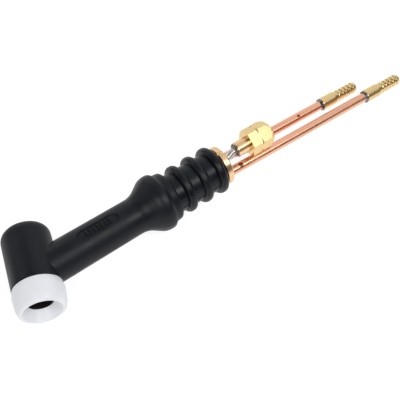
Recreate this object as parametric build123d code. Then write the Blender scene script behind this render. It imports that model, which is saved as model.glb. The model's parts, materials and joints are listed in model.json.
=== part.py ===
from build123d import *
import math
import os

# A water-cooled TIG torch body, the holder that grips a tungsten electrode. Millimetres.
# It lies on its side. The origin is where the head's axis crosses the handle's axis.
# +X runs along the handle to the rear, +Z is up, and the head's nose points towards -Y.

# Head
head_angle = 109.0          # from +X round to the nose, so the head stands 71 degrees off the handle
head_radius = 11.62
head_back = -24.3           # along the head's axis, nose positive
head_front = 6.5
head_back_round = 5.3
crease_round = 0.9

# Brass core and the jacket of cooling water round it
collet_thread_radius = 4.3
collet_thread_inner_end = -3.7
chamber_radius = 4.8
chamber_back = -12.0
cap_thread_radius = 5.2
cap_thread_mouth = -24.6
core_body_radius = 6.2
core_collar_radius = 8.0
core_nose_radius = 8.5
core_nose_back = 4.8
core_nose_end = 10.3
core_neck_front = 3.0
core_neck_back = -19.0
core_collar_back = -21.2
rear_collar_radius = 7.4
jacket_radius = 8.8
mould_gap = 0.03            # between a moulding and the metal that it is moulded on
edge_break = 0.4

# Front insulator
insulator_back = 6.6
insulator_end = 18.9
insulator_back_radius = 11.5
insulator_widest_radius = 12.05
insulator_mouth_radius = 9.1
insulator_hole_radius = 6.1
insulator_hole_end = 14.0
insulator_seat_depth = 10.5
nose_clearance = 0.05

# Flexible neck: three ball joints on the handle's axis
neck_radius = 9.1
neck_root_radius = 9.2
neck_under_skin_radius = 8.6
neck_root_end = 15.2
joint_stations = (21.0, 33.0, 45.0)     # head, middle, handle
ball_radius = 7.7
socket_gap = 0.3
stub_radius = 7.0
shoulder_gap = 3.2          # from a joint to the shoulder behind its ball

# Bulge and ribbed core
skin_end = 51.0
neck_rear_radius = 8.87
bulge_radius = 14.16
lip_radius = 12.14
groove_radius = 9.66
core_front = 74.0
core_end = 102.25
rib_radius = 12.08
rib_width = 4.5
rib_round = 1.95
rib_stations = (80.42, 89.73, 98.84)
mould_step = 0.22           # the lower mould half leaves the grooves this much fuller
spigot_radius = 7.0

# Brass end disc
disc_radius = 9.75
disc_end = 105.31
disc_spigot_radius = 8.6
disc_spigot_front = 98.4
notch_width = 1.3
notch_depth = 0.7
notch_angle = 88.0

# Copper tubes: (y, z) in the neck and at the disc, and the drift per mm behind the disc
line_radius = 2.38
line_bore_radius = 1.6
gas_in_neck = (3.2, -1.85)
water_in_neck = (-3.2, -1.85)
gas_at_disc = (4.58, -3.1)
water_at_disc = (-4.03, -3.1)
line_drift = (-0.0212, -0.0140)
spread_start = 78.0
spread_end = 93.0
line_bend_radius = 24.0
port_radius = 1.5

power_radius = 1.8
power_bore_radius = 1.1
power_in_neck = (0.0, 3.7)
power_at_disc = (-1.0, 4.3)
power_axis = (0.16, 4.97)
crank_start = 107.3
crank_end = 111.2
crank_bend_radius = 7.0

# Hose barbs, both alike: where each starts and ends, then their own sizes
gas_barb_span = (171.7, 194.1)
water_barb_span = (194.2, 216.6)
barb_radius = 3.3
barb_shank_length = 8.0
barb_taper_length = 2.6
barb_waist_radius = 2.72
barb_ridge_radius = 3.02
barb_root_radius = 2.56
barb_tip_length = 2.4
barb_socket_depth = 7.6
barb_ridges = 4
solder_length = 1.1
solder_step = 0.3           # how far the solder stays below the barb's shank

# Power nipple and union nut
nipple_front = 113.0
nipple_radius = 3.75
nipple_socket_end = 116.8
nipple_shoulder = (121.6, 123.2)
nipple_shoulder_radius = 4.35
nipple_nose_end = 124.3
nut_front = 120.0
nut_end = 133.2
nut_across_flats = 12.0
nut_turn = 30.6             # how far the nut has been turned on its axis, degrees
nut_wall_end = 121.45
nut_hole_radius = 3.83
nut_relief_radius = 4.7
nut_thread_radius = 4.46
nut_thread_start = 124.4
# Corners of the nut's rounded end: radius, distance from the end, rounding
nut_chamfer = ((7.03, 3.4, 3.0), (6.15, 1.1, 1.5), (5.2, 0.0, 0.3))
nut_notch_station = 125.6
nut_notch_depth = 0.6
nut_notch_half_width = 0.55

clear = 60.0                # longer than any cut needs

nose_direction = Vector(math.cos(math.radians(head_angle)), -math.sin(math.radians(head_angle)), 0)
head_frame = Plane(origin=(0, 0, 0), x_dir=(0, 0, 1), z_dir=nose_direction)
handle_frame = Plane.YZ


def turned(frame, corners):
    """Solid turned about the frame's Z axis from corners given as (radius, along, rounding)."""
    outline = FilletPolyline(
        *[(radius, along) for radius, along, _ in corners],
        radius=[rounding for _, _, rounding in corners],
        close=True,
    )
    return frame * revolve(make_face(Plane.XZ * outline), Axis.Z)


def bar(frame, radius, start, end):
    """Plain round bar on the frame's Z axis."""
    return turned(frame, [(0, start, 0), (radius, start, 0), (radius, end, 0), (0, end, 0)])


def ball(station, radius):
    """Sphere on the handle's axis."""
    return Pos(station, 0, 0) * Sphere(radius)


def along_x(place, radius, start, end):
    """Round bar parallel to the handle's axis at a (y, z) place."""
    return bar(Plane(origin=(0, *place), x_dir=(0, 1, 0), z_dir=(1, 0, 0)), radius, start, end)


def bent_path(points, radius):
    """Straight runs through the points, with each corner rounded by a tangent arc."""
    pieces = []
    here = Vector(*points[0])
    for before, corner, after in zip(points, points[1:], points[2:]):
        corner = Vector(*corner)
        into = (corner - Vector(*before)).normalized()
        out = (Vector(*after) - corner).normalized()
        half_turn = math.radians(into.get_angle(out)) / 2
        reach = radius * math.tan(half_turn)
        sagitta = radius / math.cos(half_turn) - radius
        start, end = corner - into * reach, corner + out * reach
        middle = corner + (out - into).normalized() * sagitta
        pieces += [Line(here, start), ThreePointArc(start, middle, end)]
        here = end
    pieces.append(Line(here, Vector(*points[-1])))
    return Wire(pieces)


def swept_bar(path, radius):
    """Round bar carried along a path."""
    section = Plane(origin=path @ 0, z_dir=path % 0) * Circle(radius)
    return sweep(section, path=path)


# ---------------------------------------------------------------- tube routes in the handle
def line_place(at_disc, station):
    """Where a drifting tube's axis is at a station behind the spread."""
    run = station - core_end
    return (at_disc[0] + line_drift[0] * run, at_disc[1] + line_drift[1] * run)


def line_path(in_neck, at_disc, end):
    """Straight through the neck, out to its place at the disc, then straight with a slight drift."""
    points = [
        (joint_stations[2] - ball_radius, *in_neck),
        (spread_start, *in_neck),
        (spread_end, *line_place(at_disc, spread_end)),
        (end, *line_place(at_disc, end)),
    ]
    return bent_path(points, line_bend_radius)


def line_frame(at_disc, station):
    """Frame on a drifting tube's axis, Z along the tube."""
    return Plane(origin=(station, *line_place(at_disc, station)), z_dir=(1, *line_drift))


tube_in_barb = barb_socket_depth - 0.1
gas_path = line_path(gas_in_neck, gas_at_disc, gas_barb_span[0] + tube_in_barb)
water_path = line_path(water_in_neck, water_at_disc, water_barb_span[0] + tube_in_barb)
power_path = bent_path(
    [
        (joint_stations[2] - ball_radius, *power_in_neck),
        (spread_start, *power_in_neck),
        (spread_end, *power_at_disc),
        (crank_start, *power_at_disc),
        (crank_end, *power_axis),
        (nipple_socket_end, *power_axis),
    ],
    crank_bend_radius,
)

lines = {
    "gas": (gas_in_neck, line_radius, line_bore_radius, gas_path),
    "water": (water_in_neck, line_radius, line_bore_radius, water_path),
    "power": (power_in_neck, power_radius, power_bore_radius, power_path),
}
handle_channels = [swept_bar(path, radius + mould_gap) for _, radius, _, path in lines.values()]
neck_channels = [
    along_x(place, radius + mould_gap, 0, clear) for place, radius, _, _ in lines.values()
]

parts = {}

# ---------------------------------------------------------------- handle body: core, bulge, disc
def rib_corners(station):
    """Outline of one rounded rib, front to rear."""
    front, rear = station - rib_width / 2, station + rib_width / 2
    foot_round = 0.3
    return [
        (groove_radius, front, foot_round),
        (rib_radius, front, rib_round),
        (rib_radius, rear, rib_round),
        (groove_radius, rear, foot_round),
    ]


core_corners = [(0, joint_stations[2], 0), (stub_radius, joint_stations[2], 0)]
core_corners += [(spigot_radius, core_front, 0), (groove_radius, core_front, 0)]
for rib_station in rib_stations:
    core_corners += rib_corners(rib_station)
core_corners += [(groove_radius, core_end, edge_break), (0, core_end, 0)]
ribbed_core = turned(handle_frame, core_corners) + ball(joint_stations[2], ball_radius)
lower_half = Pos((core_front + core_end) / 2, 0, -bulge_radius) * Box(
    core_end - core_front - 2 * edge_break, 4 * bulge_radius, 2 * bulge_radius
)
step_bar = bar(handle_frame, groove_radius + mould_step, core_front, core_end)
ribbed_core += step_bar & lower_half
ribbed_core -= bar(handle_frame, disc_spigot_radius + mould_gap, disc_spigot_front, core_end)
ribbed_core -= handle_channels
parts["ribbed_core"] = ribbed_core

shoulder_front = joint_stations[2] + shoulder_gap
parts["bulge_moulding"] = turned(
    handle_frame,
    [
        (spigot_radius + mould_gap, shoulder_front, 0),
        (neck_under_skin_radius, shoulder_front, 0),
        (neck_under_skin_radius, skin_end, 0),
        (neck_rear_radius, skin_end, 0),
        (neck_rear_radius, 56.2, 11.0),
        (bulge_radius, 64.2, 8.0),
        (bulge_radius, 69.2, 2.0),
        (lip_radius, 70.1, 0.8),
        (lip_radius, core_front - 0.2, 1.3),
        (groove_radius, core_front, 0),
        (spigot_radius + mould_gap, core_front, 0),
    ],
)

end_disc = bar(handle_frame, disc_spigot_radius, disc_spigot_front + 0.1, core_end)
end_disc += turned(
    handle_frame,
    [
        (0, core_end, 0),
        (disc_radius, core_end, 0.3),
        (disc_radius, disc_end, 0.5),
        (0, disc_end, 0),
    ],
)
notch = Pos(core_end, disc_radius, 0) * Box(notch_width, 2 * notch_depth, notch_width)
end_disc -= Rot(notch_angle, 0, 0) * notch
end_disc -= handle_channels
parts["end_disc"] = end_disc

# ---------------------------------------------------------------- tubes in the handle body
for name, (_, radius, bore_radius, path) in lines.items():
    tube = swept_bar(path, radius) - swept_bar(path, bore_radius)
    tube &= ball(joint_stations[2], ball_radius) + along_x((0, 0), clear, joint_stations[2], 4 * clear)
    parts[name + "_tube"] = tube


# ---------------------------------------------------------------- hose barbs and their solder
def barb(frame, length):
    """Barbed sleeve: plain shank, taper, then ridges that rise towards the tube, and a coned tip."""
    taper_end = barb_shank_length + barb_taper_length
    pitch = (length - barb_tip_length - taper_end) / barb_ridges
    corners = [
        (line_bore_radius, barb_socket_depth, 0),
        (line_radius + mould_gap, barb_socket_depth, 0),
        (line_radius + mould_gap, 0, 0),
        (barb_radius, 0, 0.25),
        (barb_radius, barb_shank_length, 1.0),
        (barb_waist_radius, taper_end, 0),
    ]
    for number in range(barb_ridges):
        start = taper_end + number * pitch
        corners += [(barb_ridge_radius, start + 0.35, 0.12), (barb_root_radius, start + pitch, 0)]
    corners += [
        (barb_ridge_radius, length - barb_tip_length + 0.4, 0.15),
        (line_bore_radius + 0.75, length, 0.3),
        (line_bore_radius, length, 0),
    ]
    return turned(frame, corners)


def solder_ring(frame, tube_radius, top_radius, length):
    """Collar of solder that fills the corner in front of a sleeve's end face."""
    return turned(
        frame,
        [
            (tube_radius + mould_gap, -length, 0),
            (tube_radius + 0.25, -length, 0),
            (top_radius, -0.35 * length, 0.3),
            (top_radius, 0, 0),
            (tube_radius + mould_gap, 0, 0),
        ],
    )


for name, at_disc, span in (
    ("gas", gas_at_disc, gas_barb_span),
    ("water", water_at_disc, water_barb_span),
):
    frame = line_frame(at_disc, span[0])
    parts[name + "_barb"] = barb(frame, span[1] - span[0])
    parts[name + "_barb_solder"] = solder_ring(
        frame, line_radius, barb_radius - solder_step, solder_length
    )

# ---------------------------------------------------------------- power nipple and union nut
power_frame = Plane(origin=(0, *power_axis), x_dir=(0, 1, 0), z_dir=(1, 0, 0))
nipple_frame = Plane(origin=(nipple_front, *power_axis), x_dir=(0, 1, 0), z_dir=(1, 0, 0))
parts["power_nipple"] = turned(
    power_frame,
    [
        (power_radius + mould_gap, nipple_front, 0),
        (nipple_radius, nipple_front, 0.5),
        (nipple_radius, nipple_shoulder[0], 0),
        (nipple_shoulder_radius, nipple_shoulder[0], 0.1),
        (nipple_shoulder_radius, nipple_shoulder[1], 0.1),
        (2.6, nipple_nose_end, 0.1),
        (power_bore_radius, nipple_nose_end, 0),
        (power_bore_radius, nipple_socket_end, 0),
        (power_radius + mould_gap, nipple_socket_end, 0),
    ],
)
parts["power_nipple_solder"] = solder_ring(nipple_frame, power_radius, nipple_radius - 0.6, 0.9)

nut_corner_radius = nut_across_flats / math.sqrt(3)
hexagon = Plane(origin=(nut_front, *power_axis), x_dir=(0, 1, 0), z_dir=(1, 0, 0))
hexagon *= RegularPolygon(nut_corner_radius, 6, rotation=nut_turn)
union_nut = extrude(hexagon, nut_end - nut_front)
union_nut &= turned(
    power_frame,
    [
        (0, nut_front, 0),
        (nut_corner_radius + 0.1, nut_front, 0),
        *[(radius, nut_end - back, rounding) for radius, back, rounding in nut_chamfer],
        (0, nut_end, 0),
    ],
)
union_nut -= turned(
    power_frame,
    [
        (nut_corner_radius - nut_notch_depth, nut_notch_station, 0),
        (nut_corner_radius + 0.3, nut_notch_station - nut_notch_half_width, 0),
        (nut_corner_radius + 0.3, nut_notch_station + nut_notch_half_width, 0),
    ],
)
union_nut -= turned(
    power_frame,
    [
        (0, nut_front, 0),
        (nut_hole_radius, nut_front, 0),
        (nut_hole_radius, nut_wall_end, 0),
        (nut_relief_radius, nut_wall_end, 0),
        (nut_relief_radius, nut_thread_start, 0),
        (nut_thread_radius, nut_thread_start, 0),
        (nut_thread_radius, nut_end - edge_break, 0),
        (nut_thread_radius + edge_break, nut_end, 0),
        (0, nut_end, 0),
    ],
)
parts["union_nut"] = union_nut

# ---------------------------------------------------------------- neck links and their tube lengths
for number, (ball_station, socket_station) in enumerate(
    ((joint_stations[1], joint_stations[2]), (joint_stations[0], joint_stations[1])), start=1
):
    socket = ball(socket_station, ball_radius + socket_gap)
    link = bar(handle_frame, neck_radius, ball_station + shoulder_gap, socket_station)
    link += bar(handle_frame, stub_radius, ball_station, ball_station + shoulder_gap)
    link += ball(ball_station, ball_radius)
    link -= socket
    link -= neck_channels
    parts[f"neck_link_{number}"] = link
    for name, (place, radius, bore_radius, _) in lines.items():
        tube = along_x(place, radius, ball_station, socket_station)
        tube += along_x(place, radius, ball_station - ball_radius, ball_station) & ball(
            ball_station, ball_radius
        )
        tube -= along_x(place, bore_radius, 0, clear)
        parts[f"{name}_tube_link_{number}"] = tube - socket

# ---------------------------------------------------------------- head: moulding, core, jacket
head_socket = ball(joint_stations[0], ball_radius + socket_gap)
head_moulding = turned(
    head_frame,
    [
        (0, head_back, 0),
        (head_radius, head_back, head_back_round),
        (head_radius, head_front, 0.35),
        (0, head_front, 0),
    ],
)
head_moulding += bar(handle_frame, neck_root_radius, 0, neck_root_end)
head_moulding -= bar(head_frame, head_radius, head_front, clear)
crease = head_moulding.edges().filter_by(
    lambda edge: edge.geom_type not in (GeomType.CIRCLE, GeomType.LINE)
)
head_moulding = fillet(crease, crease_round)
head_moulding += bar(handle_frame, neck_under_skin_radius, neck_root_end - 1, joint_stations[0])
head_moulding -= turned(
    head_frame,
    [
        (0, head_back, 0),
        (rear_collar_radius + mould_gap, head_back, 0),
        (rear_collar_radius + mould_gap, core_collar_back, 0),
        (jacket_radius + mould_gap, core_collar_back, 0),
        (jacket_radius + mould_gap, core_nose_back, 0),
        (core_nose_radius + mould_gap, core_nose_back, 0),
        (core_nose_radius + mould_gap, head_front, 0),
        (0, head_front, 0),
    ],
)
head_moulding -= head_socket
head_moulding -= neck_channels
parts["head_moulding"] = head_moulding

gas_port = along_x(gas_in_neck, port_radius, 2.0, 12.0)
head_core = turned(
    head_frame,
    [
        (collet_thread_radius, core_nose_end, 0),
        (core_nose_radius, core_nose_end, edge_break),
        (core_nose_radius, core_nose_back, 0),
        (core_collar_radius, core_nose_back, 0),
        (core_collar_radius, core_neck_front, 0),
        (core_body_radius, core_neck_front, 0),
        (core_body_radius, core_neck_back, 0),
        (core_collar_radius, core_neck_back, 0),
        (core_collar_radius, core_collar_back, 0),
        (rear_collar_radius, core_collar_back, 0),
        (rear_collar_radius, cap_thread_mouth, edge_break),
        (cap_thread_radius, cap_thread_mouth, 0),
        (cap_thread_radius, chamber_back, 0),
        (chamber_radius, chamber_back, 0),
        (chamber_radius, collet_thread_inner_end, 0),
        (collet_thread_radius, collet_thread_inner_end, 0),
    ],
)
parts["head_core"] = head_core - gas_port

jacket = turned(
    head_frame,
    [
        (core_collar_radius + mould_gap, core_collar_back + 0.2, 0),
        (jacket_radius, core_collar_back + 0.2, 0),
        (jacket_radius, core_nose_back - 0.1, 0),
        (core_collar_radius + mould_gap, core_nose_back - 0.1, 0),
    ],
)
jacket -= along_x(gas_in_neck, line_radius + mould_gap, 0, clear)
jacket -= along_x(water_in_neck, port_radius, 0, clear)
jacket -= along_x(power_in_neck, power_bore_radius, 0, clear)
parts["water_jacket"] = jacket

jacket_outside = bar(head_frame, jacket_radius, -clear, clear)
core_outside = bar(head_frame, core_body_radius, -clear, clear)
for name, (place, radius, bore_radius, _) in lines.items():
    tube = along_x(place, radius, 4.0, joint_stations[0])
    tube -= along_x(place, bore_radius, 0, clear)
    tube -= core_outside if name == "gas" else jacket_outside
    parts[f"{name}_tube_head"] = tube - head_socket

# ---------------------------------------------------------------- front insulator
parts["front_insulator"] = turned(
    head_frame,
    [
        (core_nose_radius + nose_clearance, insulator_back, 0),
        (insulator_back_radius, insulator_back, 0.5),
        (insulator_widest_radius, insulator_back + 3.0, 4.0),
        (insulator_widest_radius - 0.4, insulator_end - 3.2, 6.0),
        (insulator_widest_radius - 1.5, insulator_end, 1.5),
        (insulator_mouth_radius, insulator_end, 0.45),
        (insulator_hole_radius, insulator_hole_end, 0),
        (insulator_hole_radius, insulator_seat_depth, 0),
        (core_nose_radius + nose_clearance, insulator_seat_depth, 0),
    ],
)

os.makedirs("parts", exist_ok=True)
for name, shape in parts.items():
    export_step(shape, f"parts/{name}.step")
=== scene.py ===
import json
import math

import bpy
import numpy as np
from bpy.props import FloatProperty, FloatVectorProperty, PointerProperty
from mathutils import Matrix, Vector


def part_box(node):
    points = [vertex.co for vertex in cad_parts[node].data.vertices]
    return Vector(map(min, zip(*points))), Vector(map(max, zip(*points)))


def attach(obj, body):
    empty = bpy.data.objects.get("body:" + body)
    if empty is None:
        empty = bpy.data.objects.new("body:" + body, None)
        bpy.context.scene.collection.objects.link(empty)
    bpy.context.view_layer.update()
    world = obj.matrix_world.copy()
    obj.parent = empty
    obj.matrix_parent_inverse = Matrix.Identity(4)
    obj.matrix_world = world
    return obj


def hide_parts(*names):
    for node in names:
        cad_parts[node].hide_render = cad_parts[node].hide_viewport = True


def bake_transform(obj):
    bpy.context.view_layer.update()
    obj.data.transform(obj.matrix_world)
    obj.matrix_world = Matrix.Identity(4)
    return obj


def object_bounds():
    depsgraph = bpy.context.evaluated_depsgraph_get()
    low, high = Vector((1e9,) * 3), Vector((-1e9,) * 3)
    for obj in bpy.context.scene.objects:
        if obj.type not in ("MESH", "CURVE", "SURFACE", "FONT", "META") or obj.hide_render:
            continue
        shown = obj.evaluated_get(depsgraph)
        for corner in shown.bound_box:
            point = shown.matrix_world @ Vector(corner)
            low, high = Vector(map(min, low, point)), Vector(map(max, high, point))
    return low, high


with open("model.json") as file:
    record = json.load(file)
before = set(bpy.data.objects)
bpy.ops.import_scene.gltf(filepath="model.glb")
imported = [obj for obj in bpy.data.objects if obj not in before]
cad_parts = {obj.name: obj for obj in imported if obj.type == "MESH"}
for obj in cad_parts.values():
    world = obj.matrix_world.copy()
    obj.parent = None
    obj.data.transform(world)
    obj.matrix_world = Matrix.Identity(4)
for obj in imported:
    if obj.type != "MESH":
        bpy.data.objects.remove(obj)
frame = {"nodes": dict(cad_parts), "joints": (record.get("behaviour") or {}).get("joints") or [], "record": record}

bl_info = {
    "name": "Torch Body Finisher",
    "version": (1, 0, 0),
    "blender": (4, 5, 0),
    "location": "3D View > Sidebar > Torch",
    "description": "Rubber skins, finishes and a studio for a bare welding torch body",
    "category": "Object",
}

MM = 0.001
LINE_RADIUS = 2.38 * MM     # of the two copper tubes
POWER_RADIUS = 1.80 * MM    # of the tinned tube
TUBE_GAP = 0.03 * MM        # between a tube and the solder round it
NOTCH_STATION = 5.6 * MM    # of the union nut's notches, behind its front face
NOTCH_ROOT = 6.33 * MM      # radius at the bottom of the notches
CAD_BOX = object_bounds()


# ---------------------------------------------------------------- sizes and colours to change
def length(name, description, millimetres):
    """A size property in metres, from a default in millimetres."""
    return FloatProperty(
        name=name, description=description, default=millimetres * MM, unit="LENGTH", precision=5
    )


def colour(name, description, default):
    """A colour property."""
    return FloatVectorProperty(
        name=name, description=description, default=default, subtype="COLOR", min=0.0, max=1.0
    )


class TorchNeckSizes(bpy.types.PropertyGroup):
    """Sizes of the flexible neck's rubber."""

    front: length("Front", "Where the skin starts, behind the head", 15.2)
    rear: length("Rear", "Where the skin ends, at the bulge", 51.0)
    front_radius: length("Front radius", "Outer radius at the front end", 9.2)
    rear_radius: length("Rear radius", "Outer radius at the rear end", 8.87)
    bore_radius: length("Bore radius", "Inner radius, outside the neck's links", 8.63)
    badge_centre: length("Badge centre", "Station of the badge's middle", 34.4)
    badge_length: length("Badge length", "Overall length of the round-ended badge", 21.3)
    badge_width: length("Badge width", "Width of the badge round the neck", 5.9)
    badge_depth: length("Badge depth", "How far the badge is sunk", 0.72)
    parting_depth: length("Parting depth", "Depth of the mould's parting line", 0.09)


class TorchMetalSizes(bpy.types.PropertyGroup):
    """Sizes of the threads and of the solder."""

    head_pitch: length("Head pitch", "Pitch of the two threads in the head", 1.0)
    nut_pitch: length("Nut pitch", "Pitch of the union nut's left-hand thread", 1.0)
    thread_depth: length("Thread depth", "How far the thread ridges stand in from their wall", 0.24)
    # the lining is a dark sheet of painted shade in the nose hole
    lining: length("Lining", "Thickness of the dark lining in the nose hole", 0.35)
    solder_lumps: length("Solder lumps", "How uneven the solder collars are", 0.13)


class TorchFinishes(bpy.types.PropertyGroup):
    """Base colours of the finishes."""

    rubber: colour("Rubber", "Black silicone rubber", (0.0048, 0.0056, 0.0088))
    core: colour("Handle core", "Black ribbed core", (0.0048, 0.0056, 0.0088))
    insulator: colour("Insulator", "White nose insulator", (0.79, 0.80, 0.835))
    brass: colour("Brass", "Turned brass", (0.84, 0.62, 0.30))
    rose_brass: colour("Rosy brass", "Brass warmed by brazing", (0.91, 0.63, 0.36))
    copper: colour("Copper", "Drawn copper", (0.94, 0.50, 0.33))
    tin: colour("Tin", "Tinned copper", (0.72, 0.68, 0.63))
    solder: colour("Solder", "Dull silver solder", (0.30, 0.30, 0.31))
    # painted shade: dark colour for the nose hole's lining and the head core's inside, standing in for shadow
    painted_shade: colour("Painted shade", "Dark inside of the nose", (0.013, 0.010, 0.010))


class TorchStage(bpy.types.PropertyGroup):
    """Camera and floor."""

    azimuth: FloatProperty(
        name="Azimuth", description="Camera's turn round the object", default=math.radians(-37.57),
        subtype="ANGLE",
    )
    elevation: FloatProperty(
        name="Elevation", description="Camera's height above the horizon",
        default=math.radians(55.80), subtype="ANGLE",
    )
    roll: FloatProperty(
        name="Roll", description="Camera's tilt about its own line of sight",
        default=math.radians(1.43), subtype="ANGLE",
    )
    distance: length("Distance", "From the camera to the point that it looks at", 416.9)
    lens: FloatProperty(name="Lens", description="Focal length in mm on a 36 mm sensor", default=79.36)
    aim: FloatVectorProperty(
        name="Aim", description="Point that the camera looks at", default=(0.08392, -0.01051, 0.0),
        subtype="TRANSLATION",
    )
    floor: colour("Floor", "Pale floor", (0.25, 0.25, 0.25))
    floor_glow: FloatProperty(
        name="Floor glow", description="Light given off by the floor", default=0.86
    )


# ---------------------------------------------------------------- surfaces
def smoothstep(value):
    """0 below 0, 1 above 1, and 3v^2 - 2v^3 between."""
    value = np.clip(value, 0.0, 1.0)
    return value * value * (3 - 2 * value)


def crowded(start, end, count, places):
    """Values from start to end that crowd round some places.

    The density is one plus a bell for each (centre, half width, weight); equal steps of its
    running total give the values.
    """
    fine = np.linspace(start, end, 6001)
    density = np.ones_like(fine)
    for centre, half_width, weight in places:
        density += weight * np.exp(-(((fine - centre) / half_width) ** 2))
    total = np.concatenate([[0.0], np.cumsum((density[1:] + density[:-1]) / 2)])
    return np.interp(np.linspace(0.0, total[-1], count), total, fine)


def ring_mesh(name, points, sharp_degrees=35.0):
    """Closed ring of quads: a grid of points whose rows and columns both join up end to end."""
    rows, columns = points.shape[:2]
    index = np.arange(rows * columns).reshape(rows, columns)
    down = np.roll(index, -1, axis=0)
    quads = np.stack([index, np.roll(index, -1, axis=1), np.roll(down, -1, axis=1), down], axis=-1)
    return quad_mesh(name, points.reshape(-1, 3), quads.reshape(-1, 4), sharp_degrees)


def quad_mesh(name, points, quads, sharp_degrees):
    """Mesh object from points and quads, smooth except across sharp corners, facing outwards."""
    mesh = bpy.data.meshes.new(name)
    mesh.vertices.add(len(points))
    mesh.vertices.foreach_set("co", points.astype(np.float32).ravel())
    mesh.loops.add(quads.size)
    mesh.loops.foreach_set("vertex_index", quads.astype(np.int32).ravel())
    mesh.polygons.add(len(quads))
    mesh.polygons.foreach_set("loop_start", np.arange(0, quads.size, 4, dtype=np.int32))
    mesh.update(calc_edges=True)
    mesh.polygons.foreach_set("use_smooth", np.ones(len(quads), bool))
    mesh.set_sharp_from_angle(angle=math.radians(sharp_degrees))
    piece = bpy.data.objects.new(name, mesh)
    bpy.context.scene.collection.objects.link(piece)
    return piece


def rounded_outline(corners, step):
    """Outline through corners (radius, station, rounding), each corner an arc of its rounding.

    Each arc touches both straight sides, its reach back from the corner is the rounding times the
    tangent of half the turn, and it is sampled about every step.
    """
    points = np.array([corner[:2] for corner in corners], float)
    before, after = np.roll(points, 1, axis=0), np.roll(points, -1, axis=0)
    pieces = []
    for corner, back, ahead, (_, _, rounding) in zip(points, before, after, corners):
        into = (corner - back) / np.linalg.norm(corner - back)
        out = (ahead - corner) / np.linalg.norm(ahead - corner)
        half_turn = math.acos(max(-1.0, min(1.0, float(into @ out)))) / 2
        if rounding == 0 or half_turn < 1e-4:
            pieces.append(corner[None])
            continue
        reach = rounding * math.tan(half_turn)
        side = (out - into) / np.linalg.norm(out - into)
        centre = corner + side * rounding / math.cos(half_turn)
        count = max(3, int(2 * half_turn * rounding / step))
        turn = np.linspace(-half_turn, half_turn, count)[:, None]
        along = (into + out) / np.linalg.norm(into + out)
        pieces.append(centre - side * rounding * np.cos(turn) + along * rounding * np.sin(turn))
    return np.concatenate(pieces)


def even_steps(outline, step):
    """The closed outline with points added along its long sides, so that none is much over a step."""
    ahead = np.roll(outline, -1, axis=0)
    gaps = np.maximum(1, np.ceil(np.linalg.norm(ahead - outline, axis=1) / step)).astype(int)
    start = np.repeat(np.arange(len(outline)), gaps)
    share = (np.arange(len(start)) - np.repeat(np.cumsum(gaps) - gaps, gaps)) / gaps[start]
    return outline[start] + (ahead - outline)[start] * share[:, None]


def parting_groove(angles, radius, depth, width=0.16 * MM):
    """Depth of the mould's parting line, a bell-shaped groove along both sides at mid height."""
    away = np.abs(np.sin(angles)) * radius
    return depth * np.exp(-((away / width) ** 2))


SIDES = [(0.0, 0.035, 14.0), (math.pi, 0.035, 14.0), (2 * math.pi, 0.035, 14.0)]


def round_handle(profile, angles, depth):
    """Closed profile of (radius, station) carried round the handle's axis, parting line cut in.

    Angle 0 is +Y and a quarter turn is +Z. The line cuts only where the profile faces outwards.
    """
    radius, station = profile[:, :1], profile[:, 1:]
    cut = parting_groove(angles[None], radius, depth)
    outside = radius > 8.75 * MM
    radius = radius - np.where(outside, cut, 0.0)
    return np.stack(
        [station + 0 * radius, radius * np.cos(angles), radius * np.sin(angles)], axis=-1
    )


def mount_frame(name):
    """Centre, axis, radius and half length of one of the record's mounts, in metres."""
    mount = next(item for item in frame["record"]["mounts"] if item["name"] == name)
    axis = np.array(mount["axis"], float)
    dims = mount["dims"]
    axis /= np.linalg.norm(axis)
    return np.array(mount["pos_m"]), axis, dims["r_mm"] * MM, dims["length_mm"] * MM / 2


def round_axis(origin, axis, along, radius, angles):
    """Points at a distance along an axis, a radius from it and an angle round it."""
    side = np.cross(axis, (0.0, 0.0, 1.0))
    side /= np.linalg.norm(side)
    up = np.cross(side, axis)
    spoke = np.cos(angles)[..., None] * side + np.sin(angles)[..., None] * up
    return origin + along[..., None] * axis + radius[..., None] * spoke


def thread_ring(name, origin, axis, wall, half_length, pitch, depth, hand=1):
    """Ring of helical ridges that stand in from the wall of a bore.

    A ridge's height is a rounded triangle wave of the distance along the axis less the turn times
    the pitch, and it fades out at both ends. The ring's back lies just inside the wall.
    """
    angles = np.linspace(0.0, 2 * math.pi, 97)[:-1][None]
    rows = int(2 * half_length / (pitch / 10))
    along = np.linspace(-half_length, half_length, rows)[:, None]
    phase = (along / pitch - hand * angles / (2 * math.pi)) % 1.0
    wave = smoothstep(1.6 * (1 - np.abs(2 * phase - 1)) - 0.2)
    fade = smoothstep((half_length - np.abs(along)) / (0.8 * pitch))
    inner = wall - 0.01 * MM - depth * wave * fade
    back = np.full((2, angles.shape[1]), wall + 0.04 * MM)
    radius = np.concatenate([inner, back])
    along = np.concatenate([along + 0 * inner, np.array([[half_length], [-half_length]]) + 0 * back])
    return ring_mesh(name, round_axis(origin, axis, along, radius, angles + 0 * along), 60.0)


# ---------------------------------------------------------------- node groups
def new_group(name, inputs, outputs):
    """Empty shader group with float inputs (label: default) and float outputs."""
    group = bpy.data.node_groups.new(name, "ShaderNodeTree")
    for label, value in inputs.items():
        socket = group.interface.new_socket(label, in_out="INPUT", socket_type="NodeSocketFloat")
        socket.default_value = value
    for label in outputs:
        group.interface.new_socket(label, in_out="OUTPUT", socket_type="NodeSocketFloat")
    return group, group.nodes.new("NodeGroupInput"), group.nodes.new("NodeGroupOutput")


def add_node(tree, kind, settings=None, **inputs):
    """New node with its settings, and with inputs given as values or as sockets to link from."""
    node = tree.nodes.new(kind)
    for key, value in (settings or {}).items():
        setattr(node, key, value)
    for key, value in inputs.items():
        socket = node.inputs[int(key[1:])] if key[0] == "i" and key[1:].isdigit() else node.inputs[key]
        if isinstance(value, bpy.types.NodeSocket):
            tree.links.new(value, socket)
        else:
            socket.default_value = value
    return node


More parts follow.
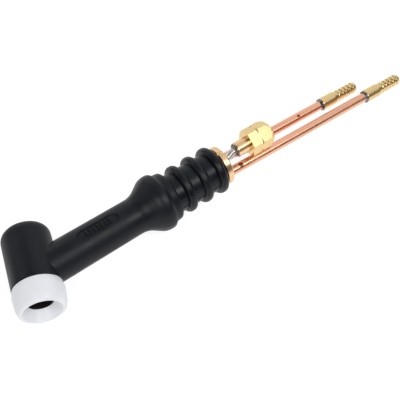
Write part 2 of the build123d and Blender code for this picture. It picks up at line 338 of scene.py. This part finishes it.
def ramp(tree, value, low, high, bottom=0.0, top=1.0):
    """Value mapped smoothly from low..high to bottom..top."""
    node = add_node(
        tree, "ShaderNodeMapRange", {"interpolation_type": "SMOOTHSTEP"},
        i0=value, i1=low, i2=high, i3=bottom, i4=top,
    )
    return node.outputs["Result"]


def object_coordinates(tree, scale, stretch=(1.0, 1.0, 1.0)):
    """Object coordinates times a scale socket, squeezed by a fixed stretch along each axis."""
    place = add_node(tree, "ShaderNodeTexCoord").outputs["Object"]
    squeezed = add_node(tree, "ShaderNodeVectorMath", {"operation": "MULTIPLY"}, i0=place, i1=stretch)
    scaled = add_node(tree, "ShaderNodeVectorMath", {"operation": "SCALE"}, i0=squeezed.outputs[0])
    tree.links.new(scale, scaled.inputs["Scale"])
    return scaled.outputs[0]


def noise(tree, vector, detail=3.0, roughness=0.55, distortion=0.0):
    """Noise value on a vector that is already scaled."""
    return add_node(
        tree, "ShaderNodeTexNoise", None, Vector=vector, Scale=1.0, Detail=detail,
        Roughness=roughness, Distortion=distortion,
    ).outputs["Fac"]


def build_grain_group():
    """Moulded grain: fine noise as a height, and broad soft patches as a mask."""
    group, start, end = new_group(
        "moulded_grain", {"Grain Scale": 2600.0, "Patch Scale": 70.0}, ("Height", "Patches")
    )
    fine = noise(group, object_coordinates(group, start.outputs["Grain Scale"]), detail=4.0)
    broad = noise(group, object_coordinates(group, start.outputs["Patch Scale"]), detail=2.0)
    group.links.new(fine, end.inputs["Height"])
    group.links.new(ramp(group, broad, 0.38, 0.62), end.inputs["Patches"])
    return group


def build_specks_group():
    """Specks of dust: cells of a Voronoi pattern whose random value is high enough carry a fleck.

    Noise pushes the pattern about, so the flecks are uneven.
    """
    group, start, end = new_group(
        "dust_specks", {"Scale": 420.0, "Size": 0.16, "Share": 0.9}, ("Specks",)
    )
    place = object_coordinates(group, start.outputs["Scale"])
    push = add_node(group, "ShaderNodeTexNoise", None, Vector=place, Scale=7.0, Detail=2.0)
    pushed = add_node(
        group, "ShaderNodeVectorMath", {"operation": "MULTIPLY_ADD"},
        i0=push.outputs["Color"], i1=(0.16, 0.16, 0.16), i2=place,
    )
    cells = add_node(
        group, "ShaderNodeTexVoronoi", {"feature": "F1"}, Vector=pushed.outputs[0], Scale=1.0
    )
    near = add_node(
        group, "ShaderNodeMath", {"operation": "LESS_THAN"},
        i0=cells.outputs["Distance"], i1=start.outputs["Size"],
    )
    chance = add_node(group, "ShaderNodeSeparateColor", None, i0=cells.outputs["Color"])
    picked = add_node(
        group, "ShaderNodeMath", {"operation": "GREATER_THAN"},
        i0=chance.outputs[0], i1=start.outputs["Share"],
    )
    both = add_node(
        group, "ShaderNodeMath", {"operation": "MULTIPLY"}, i0=near.outputs[0], i1=picked.outputs[0]
    )
    group.links.new(both.outputs[0], end.inputs["Specks"])
    return group


def build_streaks_group():
    """Drawn or turned streaks: noise squeezed along the handle's axis, as a mask and a height."""
    group, start, end = new_group("drawn_streaks", {"Scale": 900.0}, ("Streaks", "Height"))
    vector = object_coordinates(group, start.outputs["Scale"], (0.035, 1.0, 1.0))
    value = noise(group, vector, detail=4.0, roughness=0.6)
    group.links.new(ramp(group, value, 0.40, 0.66), end.inputs["Streaks"])
    group.links.new(value, end.inputs["Height"])
    return group


def build_stains_group():
    """Stains: broken patches where two noises of different scale are both high."""
    group, start, end = new_group("stains", {"Scale": 160.0, "Level": 0.56}, ("Stains",))
    broad = noise(group, object_coordinates(group, start.outputs["Scale"]), detail=5.0, roughness=0.62)
    over = add_node(
        group, "ShaderNodeMath", {"operation": "SUBTRACT"}, i0=broad, i1=start.outputs["Level"]
    )
    group.links.new(ramp(group, over.outputs[0], 0.0, 0.08), end.inputs["Stains"])
    return group


# ---------------------------------------------------------------- materials
def new_material(name):
    """Material with its shader and an empty slate for the colour nodes."""
    material = bpy.data.materials.new(name)
    material.use_nodes = True
    return material, material.node_tree, material.node_tree.nodes["Principled BSDF"]


def place_group(tree, group, **inputs):
    """A node group placed in a material with its own values."""
    node = tree.nodes.new("ShaderNodeGroup")
    node.node_tree = group
    for key, value in inputs.items():
        node.inputs[key.replace("_", " ")].default_value = value
    return node


def mix_colour(tree, share, first, second):
    """Colour that goes from first to second by a share socket."""
    node = add_node(tree, "ShaderNodeMix", {"data_type": "RGBA"})
    for socket, value in zip((node.inputs[0], node.inputs[6], node.inputs[7]), (share, first, second)):
        if isinstance(value, bpy.types.NodeSocket):
            tree.links.new(value, socket)
        else:
            socket.default_value = value
    return node.outputs[2]


def rgba(values, gain=1.0):
    """Four numbers for a colour socket."""
    return (*[min(1.0, value * gain) for value in values], 1.0)


def add_bump(tree, shader, height, strength, distance):
    """Bump from a height socket into the shader's normal."""
    bump = add_node(
        tree, "ShaderNodeBump", None, Height=height, Strength=strength, Distance=distance
    )
    tree.links.new(bump.outputs["Normal"], shader.inputs["Normal"])


def rubber_material(name, base, groups, rough, grain):
    """Matt black rubber: soft patches of lighter and duller surface, fine grain, stray specks."""
    material, tree, shader = new_material(name)
    texture = place_group(tree, groups["grain"], Grain_Scale=grain, Patch_Scale=75.0)
    specks = place_group(tree, groups["specks"], Scale=520.0, Size=0.085, Share=0.955)
    patchy = mix_colour(tree, texture.outputs["Patches"], rgba(base, 0.86), rgba(base, 1.22))
    dusty = mix_colour(tree, specks.outputs["Specks"], patchy, (0.055, 0.055, 0.06, 1.0))
    tree.links.new(dusty, shader.inputs["Base Color"])
    roughness = ramp(tree, texture.outputs["Patches"], 0.0, 1.0, rough - 0.03, rough + 0.05)
    tree.links.new(roughness, shader.inputs["Roughness"])
    shader.inputs["Specular IOR Level"].default_value = 0.24
    add_bump(tree, shader, texture.outputs["Height"], 0.22, 0.00006)
    return material


def insulator_material(name, base, groups):
    """White fluoroplastic: a little light passes under the surface, with faint turning lines."""
    material, tree, shader = new_material(name)
    texture = place_group(tree, groups["grain"], Grain_Scale=1500.0, Patch_Scale=90.0)
    tone = mix_colour(tree, texture.outputs["Patches"], rgba(base, 0.985), rgba(base, 1.015))
    tree.links.new(tone, shader.inputs["Base Color"])
    roughness = ramp(tree, texture.outputs["Patches"], 0.0, 1.0, 0.36, 0.44)
    tree.links.new(roughness, shader.inputs["Roughness"])
    shader.inputs["Subsurface Weight"].default_value = 0.35
    shader.inputs["Subsurface Radius"].default_value = (1.0, 0.95, 0.9)
    shader.inputs["Subsurface Scale"].default_value = 0.0022
    add_bump(tree, shader, texture.outputs["Height"], 0.08, 0.00005)
    return material


def metal_material(
    name, base, dark, groups, rough, streak_scale=900.0, stain_level=0.62, bump=0.10,
    streak_share=0.45, marks=(),
):
    """Bare metal: lengthwise streaks of darker tone, broken stains, roughness that follows them.

    Each mark is a function that adds a mask of its own to the nodes, and the colour that it shows.
    """
    material, tree, shader = new_material(name)
    streaks = place_group(tree, groups["streaks"], Scale=streak_scale)
    stains = place_group(tree, groups["stains"], Scale=210.0, Level=stain_level)
    faded = add_node(
        tree, "ShaderNodeMath", {"operation": "MULTIPLY"}, i0=streaks.outputs["Streaks"],
        i1=streak_share,
    )
    toned = mix_colour(tree, faded.outputs[0], rgba(base), rgba(dark))
    stained = mix_colour(tree, stains.outputs["Stains"], toned, rgba(dark, 0.8))
    for mask, tone in marks:
        stained = mix_colour(tree, mask(tree), stained, rgba(tone))
    tree.links.new(stained, shader.inputs["Base Color"])
    shader.inputs["Metallic"].default_value = 1.0
    roughness = ramp(tree, streaks.outputs["Streaks"], 0.0, 1.0, rough, rough + 0.10)
    tree.links.new(roughness, shader.inputs["Roughness"])
    add_bump(tree, shader, streaks.outputs["Height"], bump, 0.00005)
    return material


def product(tree, first, second):
    """Product of two values."""
    return add_node(tree, "ShaderNodeMath", {"operation": "MULTIPLY"}, i0=first, i1=second).outputs[0]


def distance_from_axis(tree, origin, axis):
    """Object coordinates' distance from a line, the length of their cross product with its axis."""
    place = add_node(tree, "ShaderNodeTexCoord").outputs["Object"]
    offset = add_node(
        tree, "ShaderNodeVectorMath", {"operation": "SUBTRACT"}, i0=place, i1=tuple(origin)
    )
    across = add_node(
        tree, "ShaderNodeVectorMath", {"operation": "CROSS_PRODUCT"}, i0=offset.outputs[0],
        i1=tuple(axis),
    )
    return add_node(
        tree, "ShaderNodeVectorMath", {"operation": "LENGTH"}, i0=across.outputs[0]
    ).outputs["Value"]


def nut_notch_shade(tree):
    """Mask of painted shade in the union nut's notches: near their station, and under the hexagon's corners."""
    origin, axis, _, _ = mount_frame("power_thread")
    low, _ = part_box("union_nut")
    place = add_node(tree, "ShaderNodeTexCoord").outputs["Object"]
    parts = add_node(tree, "ShaderNodeSeparateXYZ", None, i0=place)
    off = add_node(
        tree, "ShaderNodeMath", {"operation": "SUBTRACT"}, i0=parts.outputs["X"],
        i1=low.x + NOTCH_STATION,
    )
    off = add_node(tree, "ShaderNodeMath", {"operation": "ABSOLUTE"}, i0=off.outputs[0])
    near = ramp(tree, off.outputs[0], 0.34 * MM, 0.12 * MM)
    outer = ramp(
        tree, distance_from_axis(tree, origin, axis), NOTCH_ROOT - 0.17 * MM, NOTCH_ROOT + 0.03 * MM
    )
    return product(tree, near, outer)


def spot(centre, reach):
    """Mask of one uneven spot: the distance from its centre, pushed about by noise."""

    def mask(tree):
        place = add_node(tree, "ShaderNodeTexCoord").outputs["Object"]
        away = add_node(
            tree, "ShaderNodeVectorMath", {"operation": "DISTANCE"}, i0=place, i1=tuple(centre)
        )
        rough_edge = add_node(tree, "ShaderNodeTexNoise", None, Vector=place, Scale=900.0, Detail=3.0)
        pushed = add_node(
            tree, "ShaderNodeMath", {"operation": "MULTIPLY_ADD"},
            i0=rough_edge.outputs["Fac"], i1=reach, i2=away.outputs["Value"],
        )
        return ramp(tree, pushed.outputs[0], 1.7 * reach, 1.2 * reach)

    return mask


def core_nose_shade(tree):
    """Mask of painted shade on the head core's inside: everything nearer to the head's axis than the nose hole,
    where the nose lies in shadow.
    """
    origin, axis, radius, _ = mount_frame("insulator_hole")
    front = add_node(
        tree, "ShaderNodeVectorMath", {"operation": "DOT_PRODUCT"},
        i0=add_node(tree, "ShaderNodeTexCoord").outputs["Object"], i1=tuple(axis),
    )
    near = ramp(tree, distance_from_axis(tree, origin, axis), radius + 0.3 * MM, radius)
    return product(tree, near, ramp(tree, front.outputs["Value"], -8.0 * MM, 2.0 * MM))


def build_materials(finishes):
    """Every finish by name, made once."""
    groups = {
        "grain": build_grain_group(),
        "specks": build_specks_group(),
        "streaks": build_streaks_group(),
        "stains": build_stains_group(),
    }
    dark_copper = (0.50, 0.20, 0.11)
    dark_brass = (0.48, 0.29, 0.12)
    tube_top = Vector((0.0, -0.2, 0.98)) * LINE_RADIUS
    gas_spot = Vector((156.0, 3.2, -4.05)) * MM + tube_top
    water_spot = Vector((113.0, -4.4, -3.3)) * MM + tube_top
    return {
        "rubber": rubber_material("neck_rubber_finish", finishes.rubber, groups, 0.42, 2600.0),
        "core": rubber_material("handle_core_finish", finishes.core, groups, 0.35, 3200.0),
        "insulator": insulator_material("insulator_finish", finishes.insulator, groups),
        "brass": metal_material(
            "brass_finish", finishes.brass, dark_brass, groups, 0.20, 1000.0, 0.68, 0.05, 0.22
        ),
        "nut_brass": metal_material(
            "nut_brass_finish", finishes.brass, dark_brass, groups, 0.17, 700.0, 0.80, 0.03, 0.07,
            # painted shade: darker brass in the nut's notches
            ((nut_notch_shade, (0.16, 0.09, 0.03)),),
        ),
        "core_brass": metal_material(
            "core_brass_finish", finishes.brass, dark_brass, groups, 0.26, 900.0, 0.62, 0.05, 0.30,
            # painted shade darkens the head core's inside at the nose
            ((core_nose_shade, finishes.painted_shade),),
        ),
        "rose_brass": metal_material(
            "rosy_brass_finish", finishes.rose_brass, (0.55, 0.26, 0.12), groups, 0.24, 700.0, 0.60,
            0.08, 0.30,
        ),
        "copper": metal_material(
            "copper_finish", finishes.copper, dark_copper, groups, 0.24, 1100.0, 0.70, 0.08, 0.30,
            (
                (spot(gas_spot, 0.75 * MM), (0.30, 0.045, 0.02)),
                (spot(water_spot, 1.25 * MM), (0.17, 0.07, 0.04)),
            ),
        ),
        "tin": metal_material(
            "tin_finish", finishes.tin, (0.22, 0.20, 0.19), groups, 0.16, 800.0, 0.60
        ),
        # painted shade: dark finish for the nose lining
        "painted_shade": rubber_material("painted_shade_finish", finishes.painted_shade, groups, 0.5, 2600.0),
        "solder": metal_material(
            "solder_finish", finishes.solder, (0.08, 0.08, 0.09), groups, 0.30, 2000.0, 0.55, 0.5
        ),
    }


def finish_of(name):
    """A material that the finishes operator made."""
    return bpy.data.materials[name + "_finish"]


def paint(piece, name):
    """Gives a piece one material in its first slot."""
    piece.data.materials.clear()
    piece.data.materials.append(finish_of(name))


# ---------------------------------------------------------------- operators
class TorchFinishesOperator(bpy.types.Operator):
    """Make every material"""

    bl_idname = "torch.finishes"
    bl_label = "Finishes"

    def execute(self, context):
        build_materials(context.scene.torch_finishes)
        return {"FINISHED"}


class TorchNeckOperator(bpy.types.Operator):
    """Make the flexible neck's rubber, in one skin for each bending stretch"""

    bl_idname = "torch.neck"
    bl_label = "Flexible neck"

    def execute(self, context):
        sizes = context.scene.torch_neck
        joints = {joint["name"]: joint for joint in frame["joints"]}
        stations = [joints[name]["pos_m"][0] for name in ("neck_bend", "neck_bend_middle")]
        half_gap = (stations[0] - stations[1]) / 2
        cuts = [sizes.rear, stations[0] - half_gap, stations[1] - half_gap, sizes.front]
        stretches = (
            ("neck_skin_rear", "handle", "link_1", ()),
            ("neck_skin_middle", "link_1", "link_2", ("neck_link_1",)),
            ("neck_skin_front", "link_2", "head", ("neck_link_2",)),
        )
        for (name, rear_body, front_body, nodes), rear, front in zip(stretches, cuts, cuts[1:]):
            piece = self.skin(name, sizes, front, rear)
            paint(piece, "neck_rubber")
            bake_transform(piece)
            if nodes:
                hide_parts(*nodes)
        return {"FINISHED"}

    def skin(self, name, sizes, front, rear):
        """Wall of rubber between two stations.

        The outside is a slightly tapered round with the badge and the parting line cut in; the
        inside is a plain round, and flat rings join them at both ends.
        """
        top = math.pi / 2
        badge_reach = 0.5 * sizes.badge_width / sizes.rear_radius
        angles = crowded(0.0, 2 * math.pi, 230, [*SIDES, (top, badge_reach * 1.15, 9.0)])[:-1]
        rows = int((rear - front) / (0.17 * MM))
        station = np.linspace(rear, front, rows)[:, None]
        share = (station - sizes.front) / (sizes.rear - sizes.front)
        radius = sizes.front_radius + (sizes.rear_radius - sizes.front_radius) * share
        outer = radius - self.badge(sizes, station, (angles - top) * radius)
        outer = outer - parting_groove(angles[None], radius, sizes.parting_depth)
        inner = np.minimum(sizes.bore_radius, outer - 0.16 * MM)[::-1]
        wall = np.concatenate([outer, inner])
        place = np.concatenate([station + 0 * outer, station[::-1] + 0 * inner])
        points = np.stack([place, wall * np.cos(angles), wall * np.sin(angles)], axis=-1)
        return ring_mesh(name, points, 50.0)

    def badge(self, sizes, station, arc):
        """Depth of the sunk badge at a station and an arc length from the neck's crest.

        Distance to a round-ended bar gives the rim, which drops by a smooth step. On the floor
        stand plain raised bars by turns with pairs of short blocks.
        """
        half_width = sizes.badge_width / 2
        straight = sizes.badge_length / 2 - half_width
        along = station - sizes.badge_centre
        beyond = np.maximum(np.abs(along) - straight, 0.0)
        edge = np.hypot(beyond, arc) - half_width
        floor = smoothstep(-edge / (0.24 * MM))
        pitch = 2.05 * MM
        turn = along / pitch
        number = np.round(turn)
        across = np.abs(turn - number) * pitch
        bar = smoothstep((0.60 * MM - across) / (0.16 * MM))
        bar = bar * smoothstep((1.85 * MM - np.abs(arc)) / (0.18 * MM))
        gap = smoothstep((0.48 * MM - np.abs(arc)) / (0.18 * MM)) * (np.abs(number) % 2 == 0)
        bar = bar * (1 - gap) * (np.abs(number) <= 3)
        return sizes.badge_depth * floor * (1 - 0.86 * bar)


class TorchBulgeOperator(bpy.types.Operator):
    """Make the bulge at the rear of the neck"""

    bl_idname = "torch.bulge"
    bl_label = "Bulge"

    def execute(self, context):
        sizes = context.scene.torch_neck
        low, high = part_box("bulge_moulding")
        swell = high.z
        end = high.x
        lip = swell - 2.02 * MM
        seam = end - 4.2 * MM
        outline = rounded_outline(
            [
                (sizes.bore_radius, sizes.rear, 0),
                (sizes.rear_radius, sizes.rear, 0),
                (sizes.rear_radius, end - 17.8 * MM, 11.0 * MM),
                (swell, end - 9.8 * MM, 8.0 * MM),
                (swell, end - 5.3 * MM, 2.6 * MM),
                (lip + 0.35 * MM, seam, 0.5 * MM),
                (lip, end - 0.2 * MM, 1.3 * MM),
                (9.66 * MM, end, 0),
                (7.05 * MM, end, 0),
                (7.05 * MM, sizes.rear, 0),
            ],
            0.25 * MM,
        )
        profile = even_steps(outline, 0.45 * MM)
        angles = crowded(0.0, 2 * math.pi, 200, SIDES)[:-1]
        piece = ring_mesh("bulge_skin", round_handle(profile, angles, sizes.parting_depth))
        paint(piece, "neck_rubber")
        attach(piece, "handle")
        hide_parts("bulge_moulding")
        return {"FINISHED"}


class TorchNodesOperator(bpy.types.Operator):
    """Give each carried-over part its finish"""

    bl_idname = "torch.parts"
    bl_label = "Carried-over parts"

    def execute(self, context):
        for name, node in frame["nodes"].items():
            paint(node, self.finish_name(name))
        return {"FINISHED"}

    def finish_name(self, name):
        """Finish of a part by what it is."""
        if name == "ribbed_core":
            return "handle_core"
        if "moulding" in name or "neck_link" in name:
            return "neck_rubber"
        if "solder" in name:
            return "solder"
        if name == "front_insulator":
            return "insulator"
        if name.startswith("power_tube"):
            return "tin"
        if "tube" in name or name == "water_jacket":
            return "copper"
        if name in ("end_disc", "power_nipple"):
            return "rosy_brass"
        return {"union_nut": "nut_brass", "head_core": "core_brass"}.get(name, "brass")


class TorchLiningOperator(bpy.types.Operator):
    """Make the dark lining of the nose hole, a sheet of painted shade where the hole lies in shadow"""

    bl_idname = "torch.lining"
    bl_label = "Nose lining"

    def execute(self, context):
        sizes = context.scene.torch_metal
        origin, axis, radius, half_length = mount_frame("insulator_hole")
        angles = np.linspace(0.0, 2 * math.pi, 129)[:-1]
        outer = radius - 0.02 * MM
        inner = outer - sizes.lining
        front = half_length - 0.05 * MM
        profile = rounded_outline(
            [
                (inner, -half_length, 0),
                (outer, -half_length, 0),
                (outer, front, 0.1 * MM),
                (inner, front, 0.14 * MM),
            ],
            0.05 * MM,
        )
        profile = even_steps(profile, 0.3 * MM)[::-1]
        along = profile[:, 1:] + 0 * angles
        points = round_axis(origin, axis, along, profile[:, :1] + 0 * angles, angles + 0 * along)
        # painted shade: a dark sheet put in the hole, where there is only shadow
        piece = ring_mesh("nose_shade_lining", points)
        paint(piece, "painted_shade")
        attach(piece, "front_insulator")
        return {"FINISHED"}


class TorchThreadsOperator(bpy.types.Operator):
    """Make the ridges of the threads in the head and in the union nut"""

    bl_idname = "torch.threads"
    bl_label = "Threads"

    def execute(self, context):
        sizes = context.scene.torch_metal
        rings = (
            ("collet_thread", "head", "core_brass", sizes.head_pitch, 1),
            ("back_cap_thread", "head", "core_brass", sizes.head_pitch, 1),
            ("power_thread", "union_nut", "nut_brass", sizes.nut_pitch, -1),
        )
        for mount, body, finish, pitch, hand in rings:
            origin, axis, wall, half_length = mount_frame(mount)
            piece = thread_ring(
                mount + "_ridges", origin, axis, wall, half_length - 0.25 * MM, pitch,
                sizes.thread_depth, hand,
            )
            paint(piece, finish)
            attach(piece, body)
        return {"FINISHED"}


class TorchSolderOperator(bpy.types.Operator):
    """Make the uneven solder collars in front of the barbs and of the nipple"""

    bl_idname = "torch.solder"
    bl_label = "Solder collars"

    def execute(self, context):
        sizes = context.scene.torch_metal
        collars = (
            ("gas_barb_solder", "gas_hose_barb", LINE_RADIUS, 0.22, 0.4),
            ("water_barb_solder", "water_hose_barb", LINE_RADIUS, 0.24, 2.1),
            ("power_nipple_solder", "power_thread", POWER_RADIUS, 0.16, 4.4),
        )
        for name, mount, tube, swell, phase in collars:
            axis = mount_frame(mount)[1]
            piece = self.collar(name, axis, tube + TUBE_GAP, swell * MM, phase, sizes.solder_lumps)
            paint(piece, "solder")
            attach(piece, "handle")
            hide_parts(name)
        return {"FINISHED"}

    def collar(self, name, axis, tube, swell, phase, lumps):
        """Fillet of solder round a tube.

        Its outside rises from the tube by a rounded quarter wave to full height at the sleeve.
        Sines of the angle and of the distance, of different counts and phases, add the lumps.
        """
        low, high = (np.array(corner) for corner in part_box(name))
        middle, radius = (low + high) / 2, (high[2] - low[2]) / 2 + swell
        half = (high[0] - low[0]) / 2
        angles = np.linspace(0.0, 2 * math.pi, 97)[:-1][None]
        share = np.linspace(0.0, 1.0, 25)[:, None]
        reach = 1 + 0.16 * np.sin(2 * angles + phase) + 0.10 * np.sin(5 * angles + 2 * phase)
        rise = np.sin(0.5 * math.pi * np.clip(share * 1.5, 0.0, 1.0)) ** 0.8
        wobble = np.sin(3 * angles + phase + 2 * share) + 0.6 * np.sin(7 * angles - 3 * share + phase)
        outer = tube + (radius - tube) * rise + lumps * rise * 0.6 * wobble
        outer = np.maximum(outer, tube + 0.03 * MM)
        along = -half + 2 * half * share - (reach - 1) * (1 - share) * 2 * half
        inner = np.full((2, angles.shape[1]), tube)
        radius_rows = np.concatenate([outer, inner])
        along_rows = np.concatenate([along, np.full_like(inner[:1], half), along[:1]])
        points = round_axis(middle, axis, along_rows, radius_rows, angles + 0 * along_rows)
        return ring_mesh(name + "_collar", points[::-1], 50.0)


class TorchStageOperator(bpy.types.Operator):
    """Make the floor, the lights and the camera"""

    bl_idname = "torch.stage"
    bl_label = "Stage"

    def execute(self, context):
        stage = context.scene.torch_stage
        self.floor(stage)
        self.lights()
        self.world(context.scene)
        self.camera(context.scene, stage)
        context.scene.view_settings.view_transform = "Standard"
        return {"FINISHED"}

    def floor(self, stage):
        """Wide pale floor just under the object."""
        half = 2.0
        height = CAD_BOX[0].z
        corners = [(x * half, y * half, height) for x, y in ((-1, -1), (1, -1), (1, 1), (-1, 1))]
        mesh = bpy.data.meshes.new("floor")
        mesh.from_pydata(corners, [], [(0, 1, 2, 3)])
        floor = bpy.data.objects.new("floor", mesh)
        bpy.context.scene.collection.objects.link(floor)
        material, _, shader = new_material("floor_finish")
        shader.inputs["Base Color"].default_value = rgba(stage.floor)
        shader.inputs["Roughness"].default_value = 0.9
        shader.inputs["Specular IOR Level"].default_value = 0.0
        shader.inputs["Emission Color"].default_value = rgba((1.0, 1.0, 1.0))
        shader.inputs["Emission Strength"].default_value = stage.floor_glow
        mesh.materials.append(material)

    def lights(self):
        """Soft boxes round the object: name, centre, point aimed at, width, height and radiance."""
        middle = (0.084, -0.011, 0.0)
        boxes = (
            ("main_box", (-0.40, -0.38, 0.63), (0.04, 0.0, 0.0), 0.42, 0.42, 5.0),
            ("key_box", (0.230, -0.420, 0.62), (0.045, 0.0, 0.0), 0.28, 0.26, 9.0),
            ("face_box", (0.480, -0.390, 0.61), (0.127, 0.0, 0.0), 0.18, 0.26, 1.0),
            ("back_box", (-0.246, 0.869, 0.572), middle, 1.60, 0.60, 0.9),
            ("left_box", (-0.681, -0.236, 0.414), middle, 0.35, 0.60, 0.7),
        )
        for name, centre, aim, wide, high, radiance in boxes:
            light = bpy.data.lights.new(name, "AREA")
            light.shape = "RECTANGLE"
            light.size, light.size_y = wide, high
            light.energy = radiance * math.pi * wide * high
            box = bpy.data.objects.new(name, light)
            bpy.context.scene.collection.objects.link(box)
            box.location = centre
            box.rotation_mode = "QUATERNION"
            box.rotation_quaternion = (Vector(centre) - Vector(aim)).to_track_quat("Z", "Y")

    def world(self, scene):
        """Surroundings that are bright behind and overhead, and dimmer over the head."""
        world = bpy.data.worlds.new("surroundings")
        world.use_nodes = True
        tree = world.node_tree
        background = tree.nodes["Background"]
        direction = add_node(tree, "ShaderNodeTexCoord").outputs["Generated"]
        parts = add_node(tree, "ShaderNodeSeparateXYZ", None, i0=direction)
        behind = add_node(
            tree, "ShaderNodeVectorMath", {"operation": "DOT_PRODUCT"}, i0=direction,
            i1=(0.10, 0.72, 0.69),
        )
        height = ramp(tree, behind.outputs["Value"], 0.05, 0.60, 0.16, 0.92)
        side = ramp(tree, parts.outputs["X"], 0.0, 0.45, 0.15, 1.0)
        strength = add_node(tree, "ShaderNodeMath", {"operation": "MULTIPLY"}, i0=height, i1=side)
        tree.links.new(strength.outputs[0], background.inputs["Strength"])
        background.inputs["Color"].default_value = (0.97, 0.985, 1.0, 1.0)
        scene.world = world

    def camera(self, scene, stage):
        """Camera turned by azimuth and elevation about the aim, then rolled."""
        turn, height, roll = stage.azimuth, stage.elevation, stage.roll
        back = Vector(
            (math.sin(turn) * math.cos(height), -math.cos(turn) * math.cos(height), math.sin(height))
        )
        level = Vector((math.cos(turn), math.sin(turn), 0.0))
        upright = back.cross(level)
        right = level * math.cos(roll) + upright * math.sin(roll)
        up = upright * math.cos(roll) - level * math.sin(roll)
        data = bpy.data.cameras.new("camera")
        data.sensor_width = 36.0
        data.lens = stage.lens
        data.clip_start = 0.01
        camera = bpy.data.objects.new("camera", data)
        scene.collection.objects.link(camera)
        place = Matrix((right, up, back)).transposed().to_4x4()
        place.translation = Vector(stage.aim) + back * stage.distance
        camera.matrix_world = place
        scene.camera = camera


class TorchPanel(bpy.types.Panel):
    """Buttons for each group of pieces"""

    bl_idname = "VIEW3D_PT_torch"
    bl_label = "Torch body"
    bl_space_type = "VIEW_3D"
    bl_region_type = "UI"
    bl_category = "Torch"

    def draw(self, context):
        for operator in OPERATORS:
            self.layout.operator(operator.bl_idname)
        for group in SETTINGS:
            settings = getattr(context.scene, group)
            for name in settings.bl_rna.properties.keys():
                if name not in ("name", "rna_type"):
                    self.layout.prop(settings, name)


OPERATORS = (
    TorchFinishesOperator,
    TorchNodesOperator,
    TorchNeckOperator,
    TorchBulgeOperator,
    TorchLiningOperator,
    TorchThreadsOperator,
    TorchSolderOperator,
    TorchStageOperator,
)
SETTINGS = {
    "torch_neck": TorchNeckSizes,
    "torch_metal": TorchMetalSizes,
    "torch_finishes": TorchFinishes,
    "torch_stage": TorchStage,
}


def register():
    """Adds the settings, the operators and the panel."""
    for name, group in SETTINGS.items():
        bpy.utils.register_class(group)
        setattr(bpy.types.Scene, name, PointerProperty(type=group))
    for operator in OPERATORS:
        bpy.utils.register_class(operator)
    bpy.utils.register_class(TorchPanel)


def unregister():
    """Takes them away again."""
    bpy.utils.unregister_class(TorchPanel)
    for operator in reversed(OPERATORS):
        bpy.utils.unregister_class(operator)
    for name, group in SETTINGS.items():
        delattr(bpy.types.Scene, name)
        bpy.utils.unregister_class(group)


def main():
    """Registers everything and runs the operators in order."""
    register()
    bpy.ops.torch.finishes()
    bpy.ops.torch.parts()
    bpy.ops.torch.neck()
    bpy.ops.torch.bulge()
    bpy.ops.torch.lining()
    bpy.ops.torch.threads()
    bpy.ops.torch.solder()
    bpy.ops.torch.stage()


if __name__ == "__main__":
    main()
